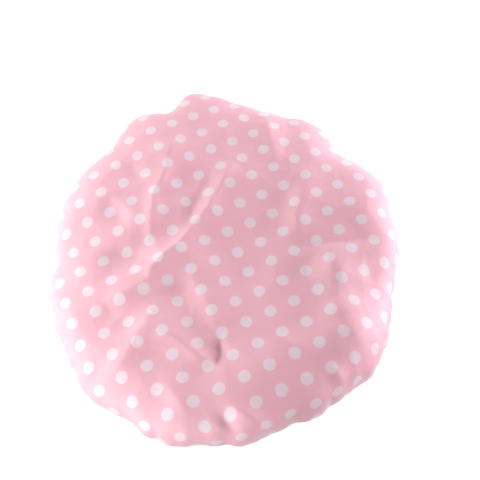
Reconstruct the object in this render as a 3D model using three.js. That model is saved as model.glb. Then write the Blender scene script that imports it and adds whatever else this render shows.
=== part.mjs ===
// Shower cap lying on its gathered hem, with the head opening underneath.
// Millimetres, +Z up from the table, +X to the viewer's right, +Y away from the viewer.
import * as THREE from "three";

// Overall shape of the lying cap
const CAP_WIDTH = 284; // oval along X
const CAP_DEPTH = 320; // oval along Y
const CROWN_HEIGHT = 40; // table to the crown in the middle, where it sags
const CROWN_DISH = 21.6; // how far the crown would rise from its middle to the rim
const CROWN_TILT = 3.9; // degrees: the crown stands higher on the +X side
const RIM_HEIGHT = 18; // table to the widest line round the cap
const UNDER_POWER = 3; // how square the underside's section is: 2 gives an ellipse, more is squarer
// The same for the crown's section, by direction in degrees
const CROWN_POWERS = [
  [0, 3.2], [45, 2.2], [90, 2.4], [135, 3.2], [180, 1.8], [225, 2.2], [270, 3.6], [300, 3.6], [330, 2.6],
];
// Lobes of the crumpled rim: direction in degrees, and reach past the oval (minus is a dent)
const RIM_LOBES = [
  [0, 1], [12, 0], [24, 4], [32, -3], [40, -10], [57, -3], [72, -12], [86, -8],
  [95, 1], [101, 7], [110, -9], [120, 1], [127, -1], [132, -7], [150, -2], [168, 2],
  [183, -2], [196, 2], [210, 4], [218, 4], [234, 8], [243, 3], [250, 6], [258, 6],
  [267, 1], [276, 2], [288, -3], [297, 1], [304, 1], [318, 7], [331, 3], [342, -2],
];

// Main creases of the crown, in percent of half the cap's width: path seen from above, height of
// the crest, and width of the slope to the left and to the right of the path
const CREASES = [
  { name: "long ridge", crest: 5, left: 32, right: 21,
    path: [[5, 50], [-9, 18], [-25, -5], [-39, -18]] },
  { name: "long ridge end", crest: 3, left: 21, right: 14,
    path: [[-39, -18], [-41, -27], [-53, -34], [-64, -39]] },
  { name: "upper ridge", crest: 4, left: 32, right: 28,
    path: [[-32, 68], [-34, 46], [-41, 27], [-42, 2]] },
  { name: "lower left ridge", crest: 2.5, left: 28, right: 14,
    path: [[-37, -44], [-45, -60], [-56, -83]] },
  { name: "middle swell", crest: 3, left: 25, right: 14,
    path: [[-20, -18], [-11, -35], [-1, -59]] },
  { name: "pocket ridge", crest: 3.5, left: 18, right: 13,
    path: [[-37, -59], [-27, -61], [-6, -77]] },
  { name: "pocket", crest: -3.5, left: 14, right: 28,
    path: [[-1, -62], [0, -71], [-4, -78]] },
  { name: "right of middle", crest: 2, left: 12, right: 10,
    path: [[49, 37], [43, 19], [42, 4]] },
  { name: "right shoulder", crest: 2, left: 21, right: 18,
    path: [[59, -14], [59, -37], [63, -54]] },
  { name: "front right edge", crest: 2.5, left: 25, right: 21,
    path: [[61, -41], [72, -63], [78, -73]] },
  { name: "front right slope", crest: 2, left: 14, right: 18,
    path: [[6, -86], [25, -77], [64, -61]] },
];
const CREASE_FADE = 10; // percent over which a crease falls to half its height at either end
const CREASE_LEVELS = [0.05, 0.6]; // height shares between which the creases run out towards the rim

// Cloth layers
const SHELL_THICKNESS = 0.8;
const LINING_THICKNESS = 0.6;
const LAYER_GAP = 0.4; // between shell and lining
const FOLD_COUNT = 22; // gathers on the underside
const FOLD_RISE = 5; // how far a gather lifts off the table
const CREST_CLEARANCE = 0.2; // fold crest to table

// Gathered hem
const OPENING_DIAMETER = 116; // head opening with the elastic relaxed
const BINDING_THICKNESS = 0.8;
const SEAM_ALLOWANCE = 6; // sewn flange of the binding, outside the elastic's casing
const CASING_STEP = 0.8; // how far the tape takes to close from casing to flange
const CLEARANCE = 0.3; // between pieces that are sewn or slipped together

// Elastic
const ELASTIC_WIDTH = 6;
const ELASTIC_THICKNESS = 0.9;
const LAP_LENGTH = 16; // overlap of the elastic's ends
const LAP_DIRECTION = 90; // degrees: the join lies at the back

// Thread
const THREAD_DIAMETER = 0.5;
const THREAD_SIDES = 6;
const STITCH_GAP = 0.1; // thread to tape
const TABLE_GAP = 0.2; // thread to table
const TACK_LENGTH = 3; // bar tack, along the elastic

const COLUMNS = 2 * FOLD_COUNT; // one column on each fold crest and one in each valley
// Rings of the crown, as shares of the rim's reach
const TOP_SHARES = [0.2, 0.38, 0.55, 0.7, 0.82, 0.91, 0.97, 1];
const UNDER_SHARES = [0.06, 0.2, 0.45, 0.72, 1]; // rings from the rim to the binding's mouth

const rad = THREE.MathUtils.degToRad;
const lerp = THREE.MathUtils.lerp;

// Places in the hem's section, worked outwards from the opening and up from the table
const openingRadius = OPENING_DIAMETER / 2;
const lapHeight = 2 * ELASTIC_THICKNESS + CLEARANCE;
const tackHole = { width: ELASTIC_WIDTH + 2 * CLEARANCE, height: lapHeight + 2 * CLEARANCE };
const tackSize = {
  width: tackHole.width + 2 * THREAD_DIAMETER,
  height: tackHole.height + 2 * THREAD_DIAMETER,
};
const casingRoom = {
  width: tackSize.width + 2 * CLEARANCE,
  height: tackSize.height + 2 * CLEARANCE,
};
const casingTop = casingRoom.height + 2 * BINDING_THICKNESS;
const casingMiddle = casingTop / 2;
const casingEnd = openingRadius + BINDING_THICKNESS + casingRoom.width;
const elasticRadius = openingRadius + BINDING_THICKNESS + casingRoom.width / 2;
const flangeStart = casingEnd + CASING_STEP;
const flangeEnd = flangeStart + SEAM_ALLOWANCE;
const flangeBottom = THREAD_DIAMETER + STITCH_GAP + TABLE_GAP;
const shellSeat = flangeBottom + BINDING_THICKNESS + CLEARANCE;
const liningInset = SHELL_THICKNESS + LAYER_GAP;
const stackHeight = liningInset + LINING_THICKNESS;
const upperLegBottom = shellSeat + stackHeight + CLEARANCE;
const upperLegTop = upperLegBottom + BINDING_THICKNESS;
const stitchRadius = (flangeStart + flangeEnd) / 2;
const clothEdgeRadius = flangeStart + CLEARANCE;
const mouthRadius = flangeEnd + 2 * CLEARANCE; // the cloth runs flat from here inwards

// Joins rings of points into one closed body: round in a loop, or capped at both ends.
// From the band mirrorFrom on, the squares are halved along their other diagonal, so that
// two faces of a cloth, joined in opposite orders, stay parallel.
function loft(rings, { loop = false, mirrorFrom = rings.length } = {}) {
  const size = rings[0].length;
  const points = rings.flat();
  const index = [];
  const bands = loop ? rings.length : rings.length - 1;
  for (let i = 0; i < bands; i++) {
    const here = i * size;
    const next = ((i + 1) % rings.length) * size;
    for (let j = 0; j < size; j++) {
      const k = (j + 1) % size;
      const [a, b, c, d] = [here + j, here + k, next + k, next + j];
      index.push(...(i < mirrorFrom ? [a, b, c, a, c, d] : [a, b, d, b, c, d]));
    }
  }
  if (!loop) {
    const last = (rings.length - 1) * size;
    const caps = [[0, true], [last, false]];
    for (const [start, first] of caps) {
      const ring = points.slice(start, start + size);
      const middle = ring.reduce((sum, p) => sum.add(p), new THREE.Vector3()).divideScalar(size);
      const centre = points.push(middle) - 1;
      for (let j = 0; j < size; j++) {
        const k = (j + 1) % size;
        index.push(centre, start + (first ? k : j), start + (first ? j : k));
      }
    }
  }
  return new THREE.BufferGeometry().setFromPoints(points).setIndex(facingOut(points, index));
}

// Turns the triangles over when they enclose a negative volume
function facingOut(points, index) {
  let volume = 0;
  for (let i = 0; i < index.length; i += 3) {
    const [a, b, c] = [points[index[i]], points[index[i + 1]], points[index[i + 2]]];
    volume += a.dot(b.clone().cross(c));
  }
  return volume > 0 ? index : index.reverse();
}

// Point at a reach from the middle of the opening, in a direction, at a height
function polar(reach, angle, height) {
  return new THREE.Vector3(reach * Math.cos(angle), reach * Math.sin(angle), height);
}

// Rim seen from above: an oval with its lobes, in evenly spaced columns about its own middle
function rimColumns() {
  const control = RIM_LOBES.map(([degrees, past]) => {
    const angle = rad(degrees);
    const oval = 1 / Math.hypot(Math.cos(angle) / (CAP_WIDTH / 2), Math.sin(angle) / (CAP_DEPTH / 2));
    return polar(oval + past, angle, 0);
  });
  const points = new THREE.CatmullRomCurve3(control, true).getSpacedPoints(COLUMNS).slice(0, COLUMNS);
  const middle = new THREE.Box3().setFromPoints(points).getCenter(new THREE.Vector3());
  return points.map((p) => {
    p.sub(middle);
    return { reach: Math.hypot(p.x, p.y), angle: Math.atan2(p.y, p.x) };
  });
}

// Height share of the bulging section at a share of the rim's reach: 1 in the middle, 0 at the rim
function bulge(share, power) {
  return Math.max(0, 1 - share ** power) ** (1 / power);
}

// Power of the crown's section in a direction, eased from each given direction to the next
function crownPower(angle) {
  const degrees = THREE.MathUtils.euclideanModulo(THREE.MathUtils.radToDeg(angle), 360);
  const next = CROWN_POWERS.findIndex(([at]) => at > degrees);
  const [from, before] = CROWN_POWERS.at(next < 0 ? -1 : next - 1);
  const [to, after] = next < 0 ? [360, CROWN_POWERS[0][1]] : CROWN_POWERS[next];
  return lerp(before, after, THREE.MathUtils.smoothstep(degrees, from, to));
}

// Rise of one crease at a point seen from above, both in percent of half the cap's width:
// crest * (1 - distance / width)^2, less at its ends
function creaseRise({ path, crest, left, right }, point) {
  let [nearest, side, along, length] = [Infinity, 0, 0, 0];
  for (let i = 1; i < path.length; i++) {
    const start = new THREE.Vector2(...path[i - 1]);
    const step = new THREE.Vector2(...path[i]).sub(start);
    const off = point.clone().sub(start);
    const share = THREE.MathUtils.clamp(off.dot(step) / step.lengthSq(), 0, 1);
    off.addScaledVector(step, -share);
    if (off.length() < nearest) {
      nearest = off.length();
      side = nearest > 0 ? step.cross(off) / (step.length() * nearest) : 0;
      along = length + share * step.length();
    }
    length += step.length();
  }
  const width = lerp(right, left, (1 + side) / 2);
  const fade = Math.min(CREASE_FADE, length / 2);
  const { smoothstep } = THREE.MathUtils;
  const ends = smoothstep(along, -fade, fade) * smoothstep(length - along, -fade, fade);
  return crest * Math.max(0, 1 - nearest / width) ** 2 * ends;
}

// Height of the underside between the rim (0) and the binding's mouth (1), before the gathers
function underHeight(reach, rimReach, inset) {
  const drop = RIM_HEIGHT - shellSeat - inset;
  const lowest = bulge(mouthRadius / rimReach, UNDER_POWER);
  return RIM_HEIGHT - drop * bulge(reach / rimReach, UNDER_POWER) / lowest;
}

// One face of the cloth, drawn in by an inset, as rings from the crown's middle to the hem
function clothFace(columns, inset) {
  const slope = Math.tan(rad(CROWN_TILT));
  const percent = CAP_WIDTH / 2 / 100;
  const crown = TOP_SHARES.map((share) => columns.map(({ reach, angle }) => {
    const out = (reach - inset) * share;
    const level = bulge(share, crownPower(angle));
    const rise = CROWN_HEIGHT - inset - RIM_HEIGHT + slope * out * Math.cos(angle) + CROWN_DISH * share ** 2;
    const above = new THREE.Vector2(Math.cos(angle), Math.sin(angle)).multiplyScalar(reach * share / percent);
    const creases = CREASES.reduce((sum, crease) => sum + creaseRise(crease, above), 0) * percent;
    const runOut = THREE.MathUtils.smoothstep(level, ...CREASE_LEVELS);
    return polar(out, angle, RIM_HEIGHT + rise * level + creases * runOut);
  }));
  const under = UNDER_SHARES.map((share) => columns.map(({ reach, angle }, column) => {
    const rimReach = reach - inset;
    const out = lerp(rimReach, mouthRadius, share);
    const outer = underHeight(lerp(reach, mouthRadius, share), reach, 0);
    const gather = column % 2 ? FOLD_RISE : CREST_CLEARANCE - outer;
    const height = underHeight(out, rimReach, inset) + gather * Math.sin(Math.PI * share);
    return polar(out, angle, height);
  }));
  const edge = columns.map(({ angle }) => polar(clothEdgeRadius, angle, shellSeat + inset));
  return [...crown, ...under, edge];
}

// Cloth layer between two insets, closed over the crown and at the hem's raw edge
function clothLayer(columns, inset, thickness) {
  const outside = clothFace(columns, inset);
  const inside = clothFace(columns, inset + thickness);
  return loft([...outside, ...inside.reverse()], { mirrorFrom: outside.length });
}

// Section points, given as [reach, height], carried once round the opening
function hemRing(section) {
  const rings = Array.from({ length: COLUMNS }, (_, i) => {
    const angle = (2 * Math.PI * i) / COLUMNS;
    return section.map(([reach, height]) => polar(reach, angle, height));
  });
  return loft(rings, { loop: true });
}

// Tape folded over the cloth's edge: a casing for the elastic and a sewn flange, open outwards
function bindingSection() {
  const t = BINDING_THICKNESS;
  return [
    [openingRadius, 0],
    [casingEnd, 0],
    [flangeStart, flangeBottom],
    [flangeEnd, flangeBottom],
    [flangeEnd, flangeBottom + t],
    [flangeStart, flangeBottom + t],
    [casingEnd, t],
    [openingRadius + t, t],
    [openingRadius + t, casingTop - t],
    [casingEnd, casingTop - t],
    [flangeStart, upperLegBottom],
    [flangeEnd, upperLegBottom],
    [flangeEnd, upperLegTop],
    [flangeStart, upperLegTop],
    [casingEnd, casingTop],
    [openingRadius, casingTop],
  ];
}

// Round thread section at the stitch line
function threadSection(height) {
  return Array.from({ length: THREAD_SIDES }, (_, i) => {
    const angle = (2 * Math.PI * (i + 0.5)) / THREAD_SIDES;
    const radius = THREAD_DIAMETER / 2;
    return [stitchRadius + radius * Math.cos(angle), height + radius * Math.sin(angle)];
  });
}

// Flat elastic, a little more than one turn, climbing so that its ends lie one on the other
function elasticBand() {
  const lap = LAP_LENGTH / elasticRadius;
  const turn = 2 * Math.PI + lap;
  const start = rad(LAP_DIRECTION) - lap / 2;
  const climb = ELASTIC_THICKNESS + CLEARANCE;
  const lowest = casingMiddle - lapHeight / 2 + ELASTIC_THICKNESS / 2;
  const rings = Array.from({ length: COLUMNS + 1 }, (_, i) => {
    const along = (turn * i) / COLUMNS;
    const height = lowest + climb * (along - lap / 2) / (2 * Math.PI);
    const halfWidth = ELASTIC_WIDTH / 2;
    const halfThick = ELASTIC_THICKNESS / 2;
    return [
      polar(elasticRadius - halfWidth, start + along, height - halfThick),
      polar(elasticRadius + halfWidth, start + along, height - halfThick),
      polar(elasticRadius + halfWidth, start + along, height + halfThick),
      polar(elasticRadius - halfWidth, start + along, height + halfThick),
    ];
  });
  return loft(rings);
}

// Thread wound round the lapped ends, as one flat loop
function barTack() {
  const rectangle = ({ width, height }, path) => path
    .moveTo(-width / 2, -height / 2)
    .lineTo(width / 2, -height / 2)
    .lineTo(width / 2, height / 2)
    .lineTo(-width / 2, height / 2)
    .closePath();
  const shape = rectangle(tackSize, new THREE.Shape());
  shape.holes.push(rectangle(tackHole, new THREE.Path()));
  return new THREE.ExtrudeGeometry(shape, { depth: TACK_LENGTH, bevelEnabled: false })
    .translate(0, 0, -TACK_LENGTH / 2)
    .rotateX(Math.PI / 2)
    .rotateZ(rad(LAP_DIRECTION))
    .translate(
      elasticRadius * Math.cos(rad(LAP_DIRECTION)),
      elasticRadius * Math.sin(rad(LAP_DIRECTION)),
      casingMiddle,
    );
}

const cap = new THREE.Group();
cap.name = "shower_cap";

// Adds one named piece to the cap
function piece(name, geometry, color, roughness) {
  const mesh = new THREE.Mesh(geometry, new THREE.MeshStandardMaterial({ color, roughness }));
  mesh.name = name;
  cap.add(mesh);
}

const columns = rimColumns();
const lowerStitch = flangeBottom - STITCH_GAP - THREAD_DIAMETER / 2;
const upperStitch = upperLegTop + STITCH_GAP + THREAD_DIAMETER / 2;
piece("outer_shell", clothLayer(columns, 0, SHELL_THICKNESS), 0xf0b4c0, 0.5);
piece("inner_lining", clothLayer(columns, liningInset, LINING_THICKNESS), 0xf4f0ee, 0.35);
piece("hem_binding", hemRing(bindingSection()), 0xf0b4c0, 0.7);
piece("elastic_band", elasticBand(), 0xf2f0ea, 0.85);
piece("elastic_bar_tack", barTack(), 0xffffff, 0.8);
piece("outer_stitch_row", hemRing(threadSection(lowerStitch)), 0xf6c9d2, 0.8);
piece("inner_stitch_row", hemRing(threadSection(upperStitch)), 0xf6c9d2, 0.8);

export default cap;
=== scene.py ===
import math

import bpy
import numpy as np
from bpy.props import FloatProperty, FloatVectorProperty, IntProperty, PointerProperty
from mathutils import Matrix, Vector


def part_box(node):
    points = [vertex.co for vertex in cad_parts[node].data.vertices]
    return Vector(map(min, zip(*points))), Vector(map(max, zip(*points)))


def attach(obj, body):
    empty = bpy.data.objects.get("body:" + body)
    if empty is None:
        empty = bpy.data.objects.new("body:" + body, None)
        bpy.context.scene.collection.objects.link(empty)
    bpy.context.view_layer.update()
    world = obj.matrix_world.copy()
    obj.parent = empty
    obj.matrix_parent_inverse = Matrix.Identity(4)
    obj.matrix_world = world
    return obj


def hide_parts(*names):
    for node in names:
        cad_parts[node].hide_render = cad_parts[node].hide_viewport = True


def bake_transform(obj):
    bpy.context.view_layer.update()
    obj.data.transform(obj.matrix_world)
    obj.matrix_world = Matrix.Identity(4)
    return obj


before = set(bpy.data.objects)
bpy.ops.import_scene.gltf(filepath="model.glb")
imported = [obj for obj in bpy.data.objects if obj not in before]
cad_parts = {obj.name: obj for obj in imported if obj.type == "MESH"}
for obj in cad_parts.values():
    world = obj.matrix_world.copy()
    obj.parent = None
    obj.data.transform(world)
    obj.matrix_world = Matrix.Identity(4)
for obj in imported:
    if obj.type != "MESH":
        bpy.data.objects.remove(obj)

bl_info = {
    "name": "Shower Cap",
    "version": (1, 0, 0),
    "blender": (4, 5, 0),
    "location": "View3D > Sidebar > Shower Cap",
    "description": "Builds a gathered polka-dot shower cap over its packed frame, on a white table",
    "category": "Object",
}

# Millimetres to Blender's metres, a full turn in radians, and a length that keeps divisions from 0
MM = 0.001
TURN = 2.0 * math.pi
TINY = 1e-9

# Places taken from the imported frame, in metres
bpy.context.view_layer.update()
HEM_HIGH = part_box("hem_binding")[1]
OUTER_STITCH_LOW, OUTER_STITCH_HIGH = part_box("outer_stitch_row")
INNER_STITCH_LOW, INNER_STITCH_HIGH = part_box("inner_stitch_row")

# Lobes of the crumpled rim: direction in degrees, reach past the oval in mm
RIM_LOBES = np.array([
    (0, 1), (12, 0), (24, 4), (32, -3), (40, -10), (57, -3), (72, -12), (86, -8),
    (95, 1), (101, 7), (110, -9), (120, 1), (127, -1), (132, -7), (150, -2), (168, 2),
    (183, -2), (196, 2), (210, 4), (218, 4), (234, 8), (243, 3), (250, 6), (258, 6),
    (267, 1), (276, 2), (288, -3), (297, 1), (304, 1), (318, 7), (331, 3), (342, -2),
], float)

# How square the crown's section is in each direction: degrees, power (2 is an ellipse)
CROWN_POWERS = np.array([
    (0, 3.2), (45, 2.2), (90, 2.4), (135, 3.2), (180, 1.8),
    (225, 2.2), (270, 3.6), (300, 3.6), (330, 2.6),
], float)

# Creases of the crown, in percent of half the cap's width: path, height of the crest (minus is a
# furrow), width of the slope to the left and to the right of the path, and rounding of the crest
CREASES = [
    ("long ridge", [(5, 50), (-9, 18), (-25, -5), (-39, -18)], 5, 32, 21, 0.6),
    ("long ridge end", [(-39, -18), (-41, -27), (-53, -34), (-64, -39)], 3, 21, 14, 0.6),
    ("long ridge notch", [(-10, 36), (-17, 22), (-20, 11)], -1.2, 7, 14, 0.6),
    ("long ridge edge", [(-6, 25), (-9, 18), (-25, -5), (-39, -18)], 1, 12, 8, 0.4),
    ("upper ridge edge", [(-34, 46), (-41, 27), (-42, 2)], 1, 12, 8, 0.4),
    ("upper step", [(-26, 30), (-25, 6)], 0.6, 6, 8, 0.8),
    ("upper ridge", [(-32, 68), (-34, 46), (-41, 27), (-42, 2)], 4, 32, 28, 0.6),
    ("lower left ridge", [(-37, -44), (-45, -60), (-56, -83)], 2.5, 28, 14, 0.6),
    ("lower left step", [(-29, -87), (-23, -94), (-18, -102)], 1.5, 13, 8, 0.6),
    ("middle swell", [(-20, -18), (-11, -35), (-1, -59)], 3, 25, 14, 2),
    ("pocket ridge", [(-37, -59), (-27, -61), (-6, -77)], 3.5, 18, 13, 0.4),
    ("pocket", [(-1, -62), (0, -71), (-4, -78)], -3.5, 14, 28, 0.4),
    ("pocket fold", [(-2, -63), (-1, -71), (-4, -78)], -1.6, 5, 18, 0.3),
    ("front dimple", [(1, -105), (8, -113)], -2.6, 6, 7, 0.3),
    ("front crest", [(4, -99), (20, -109), (13, -118)], 2.5, 8, 12, 0.5),
    ("small right crease", [(28, -61), (37, -70)], 0.8, 5, 4, 0.6),
    ("left arch", [(-76, 28), (-66, 31), (-57, 21), (-49, 13)], 1.1, 9, 9, 2),
    ("left hollow", [(-65, 20), (-58, 13)], -1, 8, 8, 2),
    ("upper left hollow", [(-57, 51), (-48, 37)], -1, 8, 8, 2),
    ("lower left hollow", [(-66, -7), (-46, -12)], -1.2, 10, 8, 2),
    ("upper right crest", [(26, 86), (28, 66), (31, 48)], 2.2, 18, 9, 1.5),
    ("right furrow", [(43, -8), (62, -7), (82, -5)], -1.5, 14, 8, 0.6),
    ("right band", [(61, -10), (63, -34)], 1, 32, 14, 5),
    ("small upper crease", [(39, 38), (49, 45)], 0.8, 6, 6, 0.6),
    ("right of middle", [(49, 37), (43, 19), (42, 4)], 2, 12, 10, 3),
    ("right shoulder", [(59, -14), (59, -37), (63, -54)], 2, 21, 18, 4),
    ("front right edge", [(61, -41), (72, -63), (78, -73)], 2.5, 25, 21, 5),
    ("front right pucker", [(57, -81), (62, -87), (62, -90)], 2, 8, 7, 0.6),
    ("front right slope", [(6, -86), (25, -77), (64, -61)], 2, 14, 18, 6),
    ("back ridge", [(11, 92), (-4, 68)], 2, 7, 13, 3),
]

# Way over which a crease falls to half its height at either end: percent, and the most that it
# takes of the crease's path
CREASE_FADE = 10
CREASE_FADE_SHARE = 0.35

# Levels of the crown's section, from 0 at the rim to 1 in the middle, over which its relief grows
RELIEF_RISE = (0.05, 0.6)

# Small facets of the crumpled crown: seed, number of folded waves, how far and how fast each wave
# is bent, how fast it fades in and out across and along its way, and where it is gone and full
CRUMPLE_SEED = 2
CRUMPLE_WAVES = 6
CRUMPLE_BEND, CRUMPLE_BEND_RATE = 0.3, 1.3
CRUMPLE_FADE_ACROSS, CRUMPLE_FADE_ALONG = 1.1, 0.8
CRUMPLE_FADE_SPAN = (-0.2, 1.0)

# Slow waves that make a row of gathers uneven: number round the cap, least and most radians, over
# the number of gathers, that each one pushes, and the radians among which its start is drawn
UNEVEN_WAVES = (3, 5, 8, 13)
UNEVEN_PUSH = (0.25, 0.6)
UNEVEN_STARTS = 6.28

# Rows of small wrinkles, each with its number round the cap, seed and height, and their middle level
RIM_PUCKERS = [(61, 3, 0.6), (37, 5, 1.0)]
RIM_PUCKER_MIDDLE = 1.0
TAPE_WRINKLES = [(90, 11, 1.0), (53, 12, 0.5)]
TAPE_WRINKLE_MIDDLE = 0.75

# How far the rim's puckers spread above and below it, as a share of the section's height
PUCKER_SPREAD = 0.5

# Powers of the sections that space the crown's rows and that draw the underside, and the number of
# points at which such a section is measured
ROW_POWER = 3.0
UNDER_POWER = 3.0
SECTION_SAMPLES = 2000

# Underside of the cloth, in metres: reach of the binding's mouth, where the cloth goes in, height
# off the table, and height inside the binding
MOUTH = HEM_HIGH.x + 0.6 * MM
TABLE_GAP = 0.4 * MM
SEAT = 2.1 * MM

# Seed of the gathers, and the shares of the way from the rim to the mouth over which the cloth
# climbs to its seat, and over which the gathers, and the pleats between them, rise and fall
FOLD_SEED = 7
SEAT_RISE = (0.8, 1.0)
GATHER_RISE, GATHER_FALL = (0.0, 0.55), (0.8, 1.0)
PLEAT_RISE, PLEAT_FALL = (0.0, 0.12), (0.35, 0.8)

# Grid rows of the seam allowance inside the binding
SEAM_ROWS = 4

# Binding tape: grid columns, rounds of corner cutting on its section, distance from the table and
# from the stitches, and how far the casing slopes beside the flange
TAPE_COLUMNS = 360
CORNER_CUTS = 3
TAPE_GAP = 0.1 * MM
CASING_SLOPE = 1.0 * MM

# Wrinkles of the tape: where they start to grow and where they are full, out from the casing's
# edge, their shares on the flange and in height, and the height at which they start to rise
WRINKLE_START, WRINKLE_END = 2 * MM, -3 * MM
FLANGE_WRINKLE = 0.25
WRINKLE_LIFT = 0.5
WRINKLE_FOOT = 0.2 * MM

# Stitches: rings along each, sides round it, where its last ring lies, and how flat it is
STITCH_RINGS = 7
STITCH_SIDES = 6
STITCH_END = 0.98
STITCH_FLATNESS = 0.7

# Printed dots, in steps of their grid: how far an edge wanders, and half the width of its blur
DOT_WANDER = 0.03
DOT_BLUR = 0.035

# Colours that are no setting, as linear red, green and blue
WHITE = (1.0, 1.0, 1.0)
TABLE_GREY = (0.35, 0.35, 0.35)
FILM_HAZE, FILM_CLEAR = (0.80, 0.76, 0.77), (0.87, 0.84, 0.84)
PINK_THREAD = (0.86, 0.55, 0.60)
WHITE_THREAD = (0.88, 0.88, 0.86)
ELASTIC = (0.86, 0.84, 0.79)

# Side of the square table, in metres
TABLE_SIDE = 6.0

# Lamps round the cap: direction and height in degrees, distance in mm, level at the cap
# (1 lights a facing white surface white) and tint
LEFT_TINT = (0.88, 1.0, 0.985)
RIGHT_TINT = (0.90, 0.945, 1.0)
LAMPS = [
    ("left_lamp", 180, 18, 500, 0.94, LEFT_TINT),
    ("back_left_lamp", 128, 28, 420, 0.40, LEFT_TINT),
    ("front_left_lamp", 244, 22, 450, 0.66, LEFT_TINT),
    ("right_lamp", 4, 17, 700, 1.10, RIGHT_TINT),
    ("back_right_lamp", 58, 20, 600, 0.46, RIGHT_TINT),
]


class CapShape(bpy.types.PropertyGroup):
    """Sizes of the lying cap."""

    width: FloatProperty(
        name="Width", description="Oval of the rim, from left to right",
        default=0.284, unit="LENGTH")
    depth: FloatProperty(
        name="Depth", description="Oval of the rim, from front to back",
        default=0.320, unit="LENGTH")
    crown_height: FloatProperty(
        name="Crown Height", description="Table to the crown in the middle",
        default=0.040, unit="LENGTH")
    crown_dish: FloatProperty(
        name="Crown Dish", description="How far the crown rises from its middle to its edge",
        default=0.0216, unit="LENGTH")
    crown_tilt: FloatProperty(
        name="Crown Tilt", description="How far the crown stands higher on its right side",
        default=math.radians(3.9), subtype="ANGLE")
    rim_height: FloatProperty(
        name="Rim Height", description="Table to the widest line round the cap",
        default=0.018, unit="LENGTH")
    columns: IntProperty(
        name="Columns", description="Grid columns round the cap", default=380, min=64)
    row_step: FloatProperty(
        name="Row Step", description="Distance between grid rows along the crown",
        default=0.0016, unit="LENGTH")
    under_step: FloatProperty(
        name="Underside Row Step", description="Distance between grid rows along the underside",
        default=0.003, unit="LENGTH")
    crumple_depth: FloatProperty(
        name="Crumple Depth", description="Height of the small crumpled facets on the crown",
        default=0.0007, unit="LENGTH")
    crumple_step: FloatProperty(
        name="Crumple Step", description="Distance between the crumpled cloth's small folds",
        default=0.05, unit="LENGTH")
    pucker: FloatProperty(
        name="Rim Pucker", description="Depth of the small puckers round the rim",
        default=0.0016, unit="LENGTH")
    folds: IntProperty(
        name="Folds", description="Gathers on the underside", default=44, min=8)
    fold_depth: FloatProperty(
        name="Fold Depth", description="How far a gather rises off the table",
        default=0.009, unit="LENGTH")
    pleat_depth: FloatProperty(
        name="Pleat Depth", description="How far the cloth folds in between gathers below the rim",
        default=0.005, unit="LENGTH")
    cloth: FloatProperty(
        name="Cloth Thickness", description="Thickness of the printed cloth",
        default=0.00025, unit="LENGTH")
    film: FloatProperty(
        name="Film Thickness", description="Thickness of the lining film",
        default=0.00012, unit="LENGTH")
    lining_gap: FloatProperty(
        name="Lining Gap", description="Printed cloth to lining film",
        default=0.0012, unit="LENGTH")


class CapPrint(bpy.types.PropertyGroup):
    """Colours and dots of the printed cloth."""

    pink: FloatVectorProperty(
        name="Pink", description="Colour of the cloth between the dots",
        default=(0.79, 0.355, 0.423), size=3, min=0, max=1, subtype="COLOR")
    dot: FloatVectorProperty(
        name="Dot", description="Colour of the printed dots",
        default=(0.75, 0.52, 0.585), size=3, min=0, max=1, subtype="COLOR")
    pitch: FloatProperty(
        name="Dot Pitch", description="Step of the dots' square grid",
        default=0.0201, unit="LENGTH")
    diameter: FloatProperty(
        name="Dot Diameter", description="Diameter of one dot",
        default=0.0094, unit="LENGTH")
    turn: FloatProperty(
        name="Grid Turn", description="Turn of the dots' grid from left-to-right",
        default=math.radians(24.4), subtype="ANGLE")
    start: FloatVectorProperty(
        name="Grid Start", description="Middle of one dot on the flat cloth",
        default=(-0.0068, -0.0216), size=2, unit="LENGTH")


class CapHem(bpy.types.PropertyGroup):
    """Sizes of the gathered hem."""

    opening: FloatProperty(
        name="Opening Radius", description="Head opening with the elastic relaxed",
        default=0.058, unit="LENGTH")
    tape: FloatProperty(
        name="Tape Thickness", description="Thickness of the binding tape",
        default=0.0007, unit="LENGTH")
    flange: FloatProperty(
        name="Flange", description="Sewn width of the tape outside the casing",
        default=0.006, unit="LENGTH")
    stitch: FloatProperty(
        name="Stitch Length", description="Length of one stitch on the surface",
        default=0.0026, unit="LENGTH")
    stitch_gap: FloatProperty(
        name="Stitch Gap", description="Gap between two stitches",
        default=0.0006, unit="LENGTH")
    scrunch: FloatProperty(
        name="Scrunch", description="Depth of the small wrinkles in the gathered tape",
        default=0.0009, unit="LENGTH")


class CapStage(bpy.types.PropertyGroup):
    """Camera and light."""

    camera: FloatVectorProperty(
        name="Camera", description="Place of the camera",
        default=(0.0132, -0.3086, 0.5717), size=3, subtype="TRANSLATION", unit="LENGTH")
    elevation: FloatProperty(
        name="Elevation", description="How far the camera looks down",
        default=math.radians(60), subtype="ANGLE")
    lens: FloatProperty(
        name="Lens", description="Focal length on a 36 mm sensor, in mm", default=57.0)
    lamp_size: FloatProperty(
        name="Lamp Size", description="Side of each square lamp", default=0.30, unit="LENGTH")
    table_glow: FloatProperty(
        name="Table Glow", description="White added to the table as the camera sees it", default=0.78)
    sky: FloatProperty(
        name="Sky", description="Strength of the even white surroundings", default=0.11)


class CapSettings(bpy.types.PropertyGroup):
    """All settings of the cap."""

    shape: PointerProperty(type=CapShape)
    cloth: PointerProperty(type=CapPrint)
    hem: PointerProperty(type=CapHem)
    stage: PointerProperty(type=CapStage)


def smooth(low, high, x):
    """Smooth step: 0 below low, 1 above high, and 3t^2 - 2t^3 between them."""
    t = np.clip((x - low) / (high - low), 0.0, 1.0)
    return t * t * (3.0 - 2.0 * t)


def window(rise, fall, x):
    """Rises smoothly from 0 to 1 over the first span and falls back to 0 over the second."""
    return smooth(*rise, x) * (1.0 - smooth(*fall, x))


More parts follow.
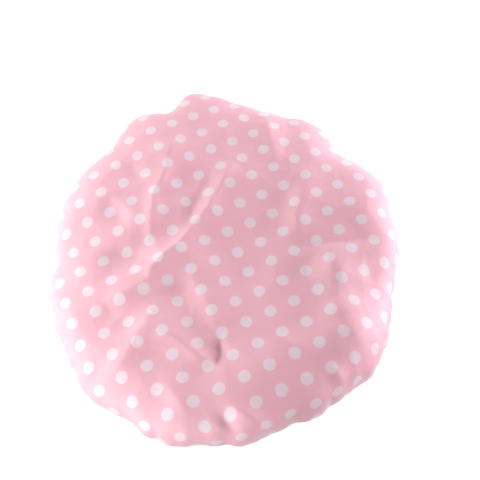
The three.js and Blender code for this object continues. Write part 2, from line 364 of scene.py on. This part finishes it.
def run_along(points):
    """Length of a path from its first point to each of its points. Paths may lie side by side."""
    steps = np.linalg.norm(np.diff(points, axis=0), axis=-1)
    return np.concatenate([np.zeros_like(steps[:1]), np.cumsum(steps, axis=0)])


def round_curve(angle, knots):
    """Smooth closed curve through (degrees, value) knots: a cubic between each two, with each
    knot's slope taken across its neighbours."""
    at = np.radians(knots[:, 0])
    k = np.concatenate([at - TURN, at, at + TURN])
    v = np.tile(knots[:, 1], 3)
    slope = np.gradient(v, k)
    a = np.mod(angle, TURN)
    i = np.searchsorted(k, a, side="right") - 1
    h = k[i + 1] - k[i]
    t = (a - k[i]) / h
    start = (1 + 2 * t) * (1 - t) ** 2 * v[i] + t * (1 - t) ** 2 * h * slope[i]
    end = t * t * (3 - 2 * t) * v[i + 1] + t * t * (t - 1) * h * slope[i + 1]
    return start + end


def rim_reach(shape, angle):
    """Reach of the rim from the middle: an oval, 1 / hypot(cos / a, sin / b), plus its lobes."""
    oval = 1.0 / np.hypot(np.cos(angle) / (shape.width / 2), np.sin(angle) / (shape.depth / 2))
    return oval + round_curve(angle, RIM_LOBES) * MM


def even_shares(power, height, reach, step):
    """Shares of the rim's reach, from 0 to 1, evenly spaced along the section whose share and level
    follow share^power + level^power = 1, with share = sin^(2/power) of a running angle."""
    angle = np.linspace(0.0, math.pi / 2, SECTION_SAMPLES)
    share = np.sin(angle) ** (2 / power)
    level = np.cos(angle) ** (2 / power)
    steps = np.hypot(np.diff(share) * reach, np.diff(level) * height)
    run = np.concatenate([[0.0], np.cumsum(steps)])
    count = int(round(run[-1] / step)) + 1
    return np.interp(np.linspace(0.0, run[-1], count), run, share)


def beside_path(x, y, points):
    """How each (x, y) lies beside a path of straight runs: its distance from the path, its side,
    from 1 on the left to -1 on the right, and the way along the path to its nearest point."""
    nearest = np.full(x.shape, np.inf)
    side = np.zeros(x.shape)
    along = np.zeros(x.shape)
    for a, b, start in zip(points[:-1], points[1:], run_along(points)):
        step = b - a
        size = np.hypot(*step)
        t = np.clip(((x - a[0]) * step[0] + (y - a[1]) * step[1]) / size**2, 0.0, 1.0)
        dx, dy = x - a[0] - t * step[0], y - a[1] - t * step[1]
        d = np.hypot(dx, dy)
        turned = (step[0] * dy - step[1] * dx) / size / np.maximum(d, TINY)
        closer = d < nearest
        nearest = np.where(closer, d, nearest)
        side = np.where(closer, turned, side)
        along = np.where(closer, start + t * size, along)
    return nearest, np.clip(side, -1.0, 1.0), along


def crease_height(x, y, percent):
    """Height of the crown's creases: each is crest * (1 - d / width)^2, with d the distance from its
    path, rounded at the crest, and width going from its left slope's to its right slope's; it falls
    to half at both ends of the path."""
    height = np.zeros_like(x)
    for _, path, crest, left, right, rounding in CREASES:
        points = np.array(path, float) * percent
        length = run_along(points)[-1]
        nearest, side, along = beside_path(x, y, points)
        width = (right + (left - right) * (0.5 + 0.5 * side)) * percent
        d = np.hypot(nearest, rounding * percent) - rounding * percent
        fade = min(CREASE_FADE_SHARE * length, CREASE_FADE * percent)
        ends = smooth(-fade, fade, along) * smooth(-fade, fade, length - along)
        height += crest * percent * np.clip(1.0 - d / width, 0.0, 1.0) ** 2 * ends
    return height


def crumple(x, y, step):
    """Flat facets of crumpled cloth: a sum of folded waves 4 |u - floor(u + 1/2)| - 1 in a few
    directions, where u is the way along in steps, bent by a slow wave; each wave fades in and out."""
    rng = np.random.default_rng(CRUMPLE_SEED)
    height = np.zeros_like(x)
    for _ in range(CRUMPLE_WAVES):
        turn, shift, bend, fade = rng.uniform(0.0, TURN, 4)
        along = (x * np.cos(turn) + y * np.sin(turn)) / step
        across = (y * np.cos(turn) - x * np.sin(turn)) / step
        u = along + CRUMPLE_BEND * np.sin(CRUMPLE_BEND_RATE * across + bend) + shift
        folded = 4.0 * np.abs(u - np.floor(u + 0.5)) - 1.0
        wave = np.sin(CRUMPLE_FADE_ACROSS * across + CRUMPLE_FADE_ALONG * along + fade)
        height += folded * smooth(*CRUMPLE_FADE_SPAN, wave)
    return height


def ripple(angle, count, seed):
    """Uneven row of gathers round the cap, from 0 in the sharp valleys to 1 on the round crests:
    |sin(count * angle / 2)| with the angle pushed to and fro by a few slow waves."""
    rng = np.random.default_rng(seed)
    pushed = angle.copy()
    for waves in UNEVEN_WAVES:
        push = rng.uniform(*UNEVEN_PUSH) / count
        pushed = pushed + push * np.sin(waves * angle + rng.uniform(0, UNEVEN_STARTS))
    return np.abs(np.sin(count * pushed / 2))


def wrinkles(angle, rows, middle):
    """Rows of gathers on top of each other, each height * ripple, less their middle level."""
    return sum(height * ripple(angle, count, seed) for count, seed, height in rows) - middle


def crown_rows(shape, angle, reach, inset):
    """Crown from its middle to the rim, and each point's level above the rim: reach R * share and
    height rim + (crown - rim) * level, where level = (1 - share^p)^(1/p), and the crown is dished
    by share^2 and tilted along x."""
    rim = shape.rim_height
    share = even_shares(ROW_POWER, shape.crown_height - rim, shape.width / 2, shape.row_step)[:, None]
    power = round_curve(angle, CROWN_POWERS)
    level = np.clip(1.0 - share**power, 0.0, 1.0) ** (1.0 / power)
    x, y = reach * share * np.cos(angle), reach * share * np.sin(angle)
    crown = shape.crown_height - inset + math.tan(shape.crown_tilt) * x + shape.crown_dish * share**2
    return np.stack([x, y, rim + (crown - rim) * level], axis=-1), level


def under_rows(shape, angle, reach, inset):
    """Underside from the rim to the binding's mouth, each row's share t of that way, and each
    point's drop below the rim: reach R + (mouth - R) * t and height falling to the table by
    drop = (1 - (reach / R)^p)^(1/p), with a climb to the seat at the end."""
    rim, table = shape.rim_height, TABLE_GAP + inset
    least = MOUTH / (shape.width / 2)
    share = even_shares(UNDER_POWER, rim, shape.width / 2, shape.under_step)
    share = share[share > least][::-1][1:, None]
    t = (1.0 - share) / (1.0 - least)
    t = t / t[-1]
    out = reach + (MOUTH - reach) * t
    drop = np.clip(1.0 - (out / reach) ** UNDER_POWER, 0.0, 1.0) ** (1.0 / UNDER_POWER)
    drop = drop / drop[-1:]
    z = rim - (rim - table) * drop + (SEAT - TABLE_GAP) * smooth(*SEAT_RISE, t)
    return np.stack([out * np.cos(angle), out * np.sin(angle), z], axis=-1), t, drop


def seam_rows(hem, angle, inset):
    """Seam allowance inside the binding: flat rings from the mouth in to the cloth's edge."""
    out = np.linspace(MOUTH, MOUTH - hem.flange, SEAM_ROWS + 1)[1:, None]
    z = np.full((SEAM_ROWS, angle.size), SEAT + inset)
    return np.stack([out * np.cos(angle), out * np.sin(angle), z], axis=-1)


def cap_surface(settings, inset):
    """Points of the cap and their places on the flat cloth, as (rows, columns) grids.
    Rows run from the crown's middle over the rim to the binding's mouth and on into the binding.
    A place on the flat cloth is as far from its middle as the smooth cap's surface is long.
    Creases and crumples raise the crown, puckers push the rim to and fro, gathers of
    fold depth * ripple lift the underside, and pleats draw it in between them.
    An inset draws the surface in from the rim and from both faces."""
    shape = settings.shape
    angle = np.linspace(0.0, TURN, shape.columns, endpoint=False)[None, :]
    reach = rim_reach(shape, angle) - inset
    crown, level = crown_rows(shape, angle, reach, inset)
    under, t, drop = under_rows(shape, angle, reach, inset)
    seam = seam_rows(settings.hem, angle, inset)
    points = np.concatenate([crown, under, seam])
    run = run_along(points)
    flat = np.stack([run * np.cos(angle), run * np.sin(angle)], axis=-1)

    x, y = crown[..., 0], crown[..., 1]
    percent = shape.width / 2 / 100
    relief = crease_height(x, y, percent)
    relief = relief + shape.crumple_depth * crumple(x, y, shape.crumple_step)
    points[:len(crown), :, 2] += relief * smooth(*RELIEF_RISE, level)

    section = np.concatenate([level, -drop, np.full(seam.shape[:2], -1.0)])
    pucker = shape.pucker * wrinkles(angle, RIM_PUCKERS, RIM_PUCKER_MIDDLE)
    pucker = pucker * np.exp(-((section / PUCKER_SPREAD) ** 2))
    points[..., 0] += pucker * np.cos(angle)
    points[..., 1] += pucker * np.sin(angle)

    fold = ripple(angle, shape.folds, FOLD_SEED)
    pleat = shape.pleat_depth * window(PLEAT_RISE, PLEAT_FALL, t) * (1.0 - fold)
    gathered = points[len(crown):len(crown) + len(under)]
    gathered[..., 2] += shape.fold_depth * window(GATHER_RISE, GATHER_FALL, t) * fold
    gathered[..., :2] *= (1.0 - pleat / np.hypot(under[..., 0], under[..., 1]))[..., None]
    return points, flat


def grid_mesh(name, points, flat, pole=False):
    """Mesh of a (rows, columns) grid that closes round its columns, with the places on the flat
    cloth as its UV map, in metres. With a pole, the first row is one point."""
    rows, columns = points.shape[:2]
    first = 1 if pole else 0
    index = np.arange((rows - first) * columns).reshape(-1, columns) + first
    beside = np.roll(index, -1, axis=1)
    quads = np.stack([index[:-1], index[1:], beside[1:], beside[:-1]], axis=-1)
    faces = quads.reshape(-1, 4).tolist()
    verts = points[first:].reshape(-1, 3)
    places = flat[first:].reshape(-1, 2)
    if pole:
        fan = np.stack([np.zeros(columns, int), index[0], beside[0]], axis=-1)
        faces = fan.tolist() + faces
        verts = np.concatenate([points[:1, 0], verts])
        places = np.concatenate([flat[:1, 0], places])
    mesh = bpy.data.meshes.new(name)
    mesh.from_pydata(verts.tolist(), [], faces)
    mesh.shade_smooth()
    corner = np.zeros(len(mesh.loops), np.int32)
    mesh.loops.foreach_get("vertex_index", corner)
    layer = mesh.uv_layers.new(name="flat_cloth")
    layer.data.foreach_set("uv", places[corner].astype(np.float32).ravel())
    mesh.validate()
    return mesh


def new_piece(name, mesh, material):
    """Object at the origin with its mesh and its material."""
    mesh.materials.append(material)
    obj = bpy.data.objects.new(name, mesh)
    bpy.context.scene.collection.objects.link(obj)
    return obj


def thicken(obj, thickness, offset):
    """Gives a sheet its thickness with Solidify: inwards at offset -1, to both sides at 0."""
    wall = obj.modifiers.new("thickness", "SOLIDIFY")
    wall.thickness = thickness
    wall.offset = offset
    wall.use_even_offset = False


def rgba(colour, shade=1.0):
    """Opaque colour, darkened to a share of itself."""
    return tuple(shade * value for value in colour) + (1.0,)


class Finish:
    """One procedural material: its Principled shader and a few helpers to wire nodes."""

    def __init__(self, name, **values):
        self.material = bpy.data.materials.new(name)
        self.material.use_nodes = True
        self.tree = self.material.node_tree
        self.shader = self.tree.nodes["Principled BSDF"]
        for socket, value in values.items():
            self.shader.inputs[socket.replace("_", " ")].default_value = value

    def node(self, kind, links=None, **settings):
        """Adds a node, sets its properties, and its input sockets from values or other sockets."""
        node = self.tree.nodes.new(kind)
        for key, value in settings.items():
            setattr(node, key, value)
        for socket, value in (links or {}).items():
            self.put(node.inputs[socket], value)
        return node

    def put(self, socket, value):
        """Links an output socket, or sets a plain value."""
        if isinstance(value, bpy.types.NodeSocket):
            self.tree.links.new(value, socket)
        else:
            socket.default_value = value

    def noise(self, vector, scale, detail, roughness=0.5):
        """Noise texture in steps of 1 / scale metres."""
        return self.node("ShaderNodeTexNoise", {
            "Vector": vector, "Scale": scale, "Detail": detail, "Roughness": roughness,
        }).outputs["Fac"]

    def facets(self, vector, scale):
        """Crumpled facets in steps of 1 / scale metres: distance to the nearest scattered point."""
        return self.node("ShaderNodeTexVoronoi", {"Vector": vector, "Scale": scale}).outputs["Distance"]

    def bump(self, height, strength, distance, normal=None):
        """Bump of a height socket, on top of another normal if there is one."""
        links = {"Height": height, "Strength": strength, "Distance": distance}
        if normal is not None:
            links["Normal"] = normal
        return self.node("ShaderNodeBump", links).outputs["Normal"]

    def mix(self, factor, first, second):
        """Mix of two colours."""
        node = self.node("ShaderNodeMix", data_type="RGBA")
        self.put(node.inputs["Factor"], factor)
        self.put(node.inputs["A"], first)
        self.put(node.inputs["B"], second)
        return node.outputs["Result"]

    def dress(self, colour, normal):
        """Wires the shader's colour and normal, and gives the finished material."""
        self.put(self.shader.inputs["Base Color"], colour)
        self.put(self.shader.inputs["Normal"], normal)
        return self.material


def when_seen(tree, plain, seen):
    """Level with one value for the light that a surface gives, and another where the camera, a
    reflection or a clear piece looks straight at it: plain + (seen - plain) * is direct ray."""
    rays = tree.nodes.new("ShaderNodeLightPath").outputs
    direct = rays["Is Camera Ray"]
    for name in ("Is Glossy Ray", "Is Transmission Ray"):
        either = tree.nodes.new("ShaderNodeMath")
        either.operation = "MAXIMUM"
        tree.links.new(direct, either.inputs[0])
        tree.links.new(rays[name], either.inputs[1])
        direct = either.outputs["Value"]
    level = tree.nodes.new("ShaderNodeMath")
    level.operation = "MULTIPLY_ADD"
    tree.links.new(direct, level.inputs[0])
    level.inputs[1].default_value = seen - plain
    level.inputs[2].default_value = plain
    return level.outputs["Value"]


def printed_cloth(cloth):
    """Soft waterproof cloth with printed dots: distance to the nearest point of a square grid on
    the flat cloth, cut at the dot's radius; faint mottling, crumpled facets, fine crinkles and grain,
    and a soft coat and sheen."""
    finish = Finish(
        "printed_cloth", Roughness=0.7, Specular_IOR_Level=1.0, Coat_Weight=0.4, Coat_Roughness=0.7,
        Sheen_Weight=0.2, Sheen_Roughness=0.4)
    flat = finish.node("ShaderNodeUVMap", uv_map="flat_cloth").outputs["UV"]
    where = finish.node("ShaderNodeTexCoord").outputs["Object"]
    c, s = math.cos(cloth.turn), math.sin(cloth.turn)
    x, y = cloth.start
    grid = finish.node("ShaderNodeMapping", {
        "Vector": flat,
        "Location": (-(c * x + s * y) / cloth.pitch + 0.5, (s * x - c * y) / cloth.pitch + 0.5, 0.0),
        "Rotation": (0.0, 0.0, -cloth.turn),
        "Scale": (1 / cloth.pitch, 1 / cloth.pitch, 0.0),
    }).outputs["Vector"]
    cell = finish.node("ShaderNodeVectorMath", {0: grid}, operation="FRACTION").outputs["Vector"]
    middle = finish.node(
        "ShaderNodeVectorMath", {0: cell, 1: (0.5, 0.5, 0.0)}, operation="SUBTRACT").outputs["Vector"]
    away = finish.node("ShaderNodeVectorMath", {0: middle}, operation="LENGTH").outputs["Value"]
    uneven = finish.noise(flat, scale=420.0, detail=1.0)
    wander = {0: uneven, 1: DOT_WANDER, 2: away}
    edge = finish.node("ShaderNodeMath", wander, operation="MULTIPLY_ADD").outputs["Value"]
    radius = cloth.diameter / cloth.pitch / 2 + DOT_WANDER / 2
    dot = finish.node("ShaderNodeMapRange", {
        "Value": edge, "From Min": radius + DOT_BLUR, "From Max": radius - DOT_BLUR,
    }, interpolation_type="SMOOTHSTEP").outputs["Result"]
    mottle = finish.noise(where, scale=45.0, detail=3.0)
    pink = finish.mix(mottle, rgba(cloth.pink, shade=0.95), rgba(cloth.pink))
    colour = finish.mix(dot, pink, rgba(cloth.dot))
    facets = finish.facets(where, scale=40.0)
    crinkles = finish.noise(where, scale=120.0, detail=3.0, roughness=0.55)
    grain = finish.noise(flat, scale=2400.0, detail=1.0)
    normal = finish.bump(facets, strength=0.8, distance=2.0 * MM)
    normal = finish.bump(crinkles, strength=0.18, distance=1.2 * MM, normal=normal)
    normal = finish.bump(grain, strength=0.10, distance=0.15 * MM, normal=normal)
    return finish.dress(colour, normal)


def lining_film():
    """Milky waterproof film, smoother than the cloth, with fine soft crinkles."""
    finish = Finish("lining_film", Roughness=0.32)
    where = finish.node("ShaderNodeTexCoord").outputs["Object"]
    haze = finish.noise(where, scale=60.0, detail=3.0)
    crinkles = finish.noise(where, scale=160.0, detail=4.0, roughness=0.6)
    milky = finish.mix(haze, rgba(FILM_HAZE), rgba(FILM_CLEAR))
    return finish.dress(milky, finish.bump(crinkles, strength=0.3, distance=1.5 * MM))


def woven_tape(name, colour, ribs):
    """Narrow woven tape: a fine wave of ribs slanting across the flat tape, darker between them."""
    finish = Finish(name, Roughness=0.72, Sheen_Weight=0.2, Sheen_Roughness=0.5)
    flat = finish.node("ShaderNodeUVMap", uv_map="flat_cloth").outputs["UV"]
    weave = finish.node("ShaderNodeTexWave", {
        "Vector": flat, "Scale": ribs, "Distortion": 0.4, "Detail": 1.0,
    }, bands_direction="DIAGONAL").outputs["Fac"]
    ribbed = finish.mix(weave, rgba(colour, shade=0.86), rgba(colour))
    return finish.dress(ribbed, finish.bump(weave, strength=0.35, distance=0.2 * MM))


def plain_textile(name, colour, ribs):
    """Thread or elastic, with its twist or its ribs as a fine wave over the piece."""
    finish = Finish(name, Roughness=0.8, Sheen_Weight=0.2, Sheen_Roughness=0.5)
    where = finish.node("ShaderNodeTexCoord").outputs["Object"]
    twist = finish.node("ShaderNodeTexWave", {
        "Vector": where, "Scale": ribs, "Distortion": 1.0, "Detail": 1.0,
    }, bands_direction="DIAGONAL").outputs["Fac"]
    twisted = finish.mix(twist, rgba(colour, shade=0.82), rgba(colour))
    return finish.dress(twisted, finish.bump(twist, strength=0.4, distance=0.15 * MM))


class CAP_OT_shell(bpy.types.Operator):
    """Build the printed shell: crown, crumpled rim and gathered underside"""

    bl_idname = "shower_cap.shell"
    bl_label = "Printed Shell"

    def execute(self, context):
        settings = context.scene.shower_cap
        points, flat = cap_surface(settings, 0.0)
        mesh = grid_mesh("printed_shell", points, flat, pole=True)
        shell = new_piece("printed_shell", mesh, printed_cloth(settings.cloth))
        thicken(shell, settings.shape.cloth, offset=-1.0)
        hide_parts("outer_shell")
        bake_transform(shell)
        return {"FINISHED"}


class CAP_OT_lining(bpy.types.Operator):
    """Build the film lining, just inside the shell"""

    bl_idname = "shower_cap.lining"
    bl_label = "Film Lining"

    def execute(self, context):
        settings = context.scene.shower_cap
        points, flat = cap_surface(settings, settings.shape.lining_gap)
        mesh = grid_mesh("film_lining", points, flat, pole=True)
        lining = new_piece("film_lining", mesh, lining_film())
        thicken(lining, settings.shape.film, offset=-1.0)
        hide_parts("inner_lining")
        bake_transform(lining)
        return {"FINISHED"}


def tape_section(hem):
    """Middle line of the folded tape, from its lower flange round the casing to its upper flange, as
    (reach, height) points: straight runs whose corners are cut, at a quarter of a run, a few times."""
    half = 0.5 * hem.tape
    low, high = half + TAPE_GAP, HEM_HIGH.z - half
    lower = OUTER_STITCH_HIGH.z + half + TAPE_GAP
    upper = INNER_STITCH_LOW.z - half - TAPE_GAP
    outer, inner = HEM_HIGH.x, hem.opening + half
    casing = outer - hem.flange
    line = np.array([
        (outer, lower), (casing, lower), (casing - CASING_SLOPE, low), (inner, low),
        (inner, high), (casing - CASING_SLOPE, high), (casing, upper), (outer, upper),
    ])
    for _ in range(CORNER_CUTS):
        near, far = line[:-1] * 0.75 + line[1:] * 0.25, line[:-1] * 0.25 + line[1:] * 0.75
        line = np.concatenate([line[:1], np.stack([near, far], 1).reshape(-1, 2), line[-1:]])
    return line


def tape_surface(hem):
    """Points of the gathered tape and their places on the flat tape, as grids along its section and
    round the hem: the section carried round the opening, its reach changed by scrunch * wrinkles,
    less on the flange than round the casing, and its height in the same way away from the table."""
    angle = np.linspace(0.0, TURN, TAPE_COLUMNS, endpoint=False)[None, :]
    line = tape_section(hem)
    reach, height = line[:, :1], line[:, 1:]
    edge = HEM_HIGH.x - hem.flange
    casing = smooth(edge + WRINKLE_START, edge + WRINKLE_END, reach)
    wrinkle = hem.scrunch * wrinkles(angle, TAPE_WRINKLES, TAPE_WRINKLE_MIDDLE)
    out = reach + wrinkle * (FLANGE_WRINKLE + (1.0 - FLANGE_WRINKLE) * casing)
    z = height + WRINKLE_LIFT * wrinkle * casing * smooth(WRINKLE_FOOT, HEM_HIGH.z, height)
    points = np.stack([out * np.cos(angle), out * np.sin(angle), z], axis=-1)
    flat = np.stack(np.broadcast_arrays(HEM_HIGH.x * angle, run_along(line)[:, None]), axis=-1)
    return points, flat


def stitch_row(name, hem, reach, height, thick, material):
    """Row of short stitches on a circle: each an elongated, slightly flat drop of thread, whose
    radius is thick / 2 * sqrt(1 - u^4) along its length, u from -1 to 1."""
    count = int(TURN * reach / (hem.stitch + hem.stitch_gap))
    u = np.linspace(-STITCH_END, STITCH_END, STITCH_RINGS)[None, :, None]
    around = np.linspace(0.0, TURN, STITCH_SIDES, endpoint=False)[None, None, :]
    middle = (np.arange(count) * TURN / count)[:, None, None]
    radius = thick / 2 * np.sqrt(1.0 - u**4)
    angle, out, z = np.broadcast_arrays(
        middle + u * hem.stitch / 2 / reach,
        reach + radius * np.cos(around),
        height + STITCH_FLATNESS * radius * np.sin(around))
    points = np.stack([out * np.cos(angle), out * np.sin(angle), z], axis=-1)
    index = np.arange(angle.size).reshape(angle.shape)
    beside = np.roll(index, -1, axis=2)
    walls = np.stack([index[:, :-1], beside[:, :-1], beside[:, 1:], index[:, 1:]], axis=-1)
    faces = walls.reshape(-1, 4).tolist()
    faces += index[:, 0, ::-1].tolist() + index[:, -1].tolist()
    mesh = bpy.data.meshes.new(name)
    mesh.from_pydata(points.reshape(-1, 3).tolist(), [], faces)
    mesh.shade_smooth()
    mesh.validate()
    return new_piece(name, mesh, material)


class CAP_OT_hem(bpy.types.Operator):
    """Build the gathered hem's binding tape and stitches, and give the elastic and its bar tack their
    finishes
    """

    bl_idname = "shower_cap.hem"
    bl_label = "Gathered Hem"

    def execute(self, context):
        settings = context.scene.shower_cap
        hem = settings.hem
        mesh = grid_mesh("gathered_binding", *tape_surface(hem))
        binding = woven_tape("binding_tape", settings.cloth.pink, ribs=500.0)
        tape = new_piece("gathered_binding", mesh, binding)
        thicken(tape, hem.tape, offset=0.0)
        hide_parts("hem_binding")
        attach(tape, "hem")

        thread = plain_textile("pink_thread", PINK_THREAD, ribs=900.0)
        rows = (
            ("outer_stitches", "outer_stitch_row", OUTER_STITCH_LOW, OUTER_STITCH_HIGH),
            ("inner_stitches", "inner_stitch_row", INNER_STITCH_LOW, INNER_STITCH_HIGH),
        )
        for name, node, low, high in rows:
            thick = high.z - low.z
            row = stitch_row(name, hem, high.x - thick / 2, (low.z + high.z) / 2, thick, thread)
            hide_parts(node)
            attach(row, "hem")

        finishes = {
            "elastic_band": plain_textile("woven_elastic", ELASTIC, ribs=700.0),
            "elastic_bar_tack": plain_textile("white_thread", WHITE_THREAD, ribs=900.0),
        }
        for node, material in finishes.items():
            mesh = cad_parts[node].data
            mesh.materials.clear()
            mesh.materials.append(material)
        return {"FINISHED"}


def add_table(glow):
    """White square table under the cap, with an added glow where something looks straight at it."""
    half = TABLE_SIDE / 2
    corners = [(-half, -half, 0), (half, -half, 0), (half, half, 0), (-half, half, 0)]
    mesh = bpy.data.meshes.new("table")
    mesh.from_pydata(corners, [], [(0, 1, 2, 3)])
    finish = Finish("white_table", Base_Color=rgba(TABLE_GREY), Roughness=0.9)
    table = new_piece("table", mesh, finish.material)
    light = finish.node("ShaderNodeEmission", {
        "Color": rgba(WHITE), "Strength": when_seen(finish.tree, 0.0, glow),
    })
    both = finish.node("ShaderNodeAddShader", {
        0: finish.shader.outputs["BSDF"], 1: light.outputs["Emission"],
    })
    finish.put(finish.tree.nodes["Material Output"].inputs["Surface"], both.outputs["Shader"])
    return table


def add_lamp(scene, name, direction, height, distance, level, tint, size):
    """Square lamp that looks at the origin. A lamp of power P lights a facing white surface at
    distance d to the level P / (pi d)^2, so P = level * (pi d)^2."""
    turn, tilt, away = math.radians(direction), math.radians(height), distance * MM
    light = bpy.data.lights.new(name, "AREA")
    light.energy = level * (math.pi * away) ** 2
    light.color = tint
    light.size = size
    lamp = bpy.data.objects.new(name, light)
    lamp.location = (
        away * math.cos(tilt) * math.cos(turn),
        away * math.cos(tilt) * math.sin(turn),
        away * math.sin(tilt),
    )
    lamp.rotation_euler = (math.pi / 2 - tilt, 0.0, turn + math.pi / 2)
    scene.collection.objects.link(lamp)


def add_sky(scene, strength):
    """Even white surroundings, plain white where something looks straight at them."""
    world = bpy.data.worlds.new("white_surroundings")
    world.use_nodes = True
    sky = world.node_tree.nodes["Background"]
    sky.inputs["Color"].default_value = rgba(WHITE)
    level = when_seen(world.node_tree, strength, 1.0)
    world.node_tree.links.new(level, sky.inputs["Strength"])
    scene.world = world


def add_camera(scene, place, elevation, lens):
    """Camera that looks towards +Y and down."""
    camera = bpy.data.cameras.new("camera")
    camera.lens = lens
    eye = bpy.data.objects.new("camera", camera)
    eye.location = place
    eye.rotation_euler = (math.pi / 2 - elevation, 0.0, 0.0)
    scene.collection.objects.link(eye)
    scene.camera = eye


class CAP_OT_stage(bpy.types.Operator):
    """Set the table, the light and the camera"""

    bl_idname = "shower_cap.stage"
    bl_label = "Stage"

    def execute(self, context):
        scene = context.scene
        stage = scene.shower_cap.stage
        table = add_table(stage.table_glow)
        for lamp in LAMPS:
            add_lamp(scene, *lamp, size=stage.lamp_size)
        add_sky(scene, stage.sky)
        add_camera(scene, stage.camera, stage.elevation, stage.lens)
        scene.view_settings.view_transform = "Standard"
        return {"FINISHED"}


class CAP_PT_panel(bpy.types.Panel):
    """Sidebar panel with the cap's settings and its operators"""

    bl_idname = "CAP_PT_panel"
    bl_label = "Shower Cap"
    bl_space_type = "VIEW_3D"
    bl_region_type = "UI"
    bl_category = "Shower Cap"

    def draw(self, context):
        settings = context.scene.shower_cap
        for group in (settings.shape, settings.cloth, settings.hem, settings.stage):
            box = self.layout.box()
            for key in group.__annotations__:
                box.prop(group, key)
        for operator in OPERATORS:
            self.layout.operator(operator.bl_idname)


OPERATORS = (CAP_OT_stage, CAP_OT_shell, CAP_OT_lining, CAP_OT_hem)
CLASSES = (CapShape, CapPrint, CapHem, CapStage, CapSettings, *OPERATORS, CAP_PT_panel)


def register():
    """Registers the classes and the settings."""
    for cls in CLASSES:
        bpy.utils.register_class(cls)
    bpy.types.Scene.shower_cap = PointerProperty(type=CapSettings)


def unregister():
    """Removes the settings and the classes."""
    del bpy.types.Scene.shower_cap
    for cls in reversed(CLASSES):
        bpy.utils.unregister_class(cls)


def main():
    register()
    bpy.ops.shower_cap.stage()
    bpy.ops.shower_cap.shell()
    bpy.ops.shower_cap.lining()
    bpy.ops.shower_cap.hem()


if __name__ == "__main__":
    main()
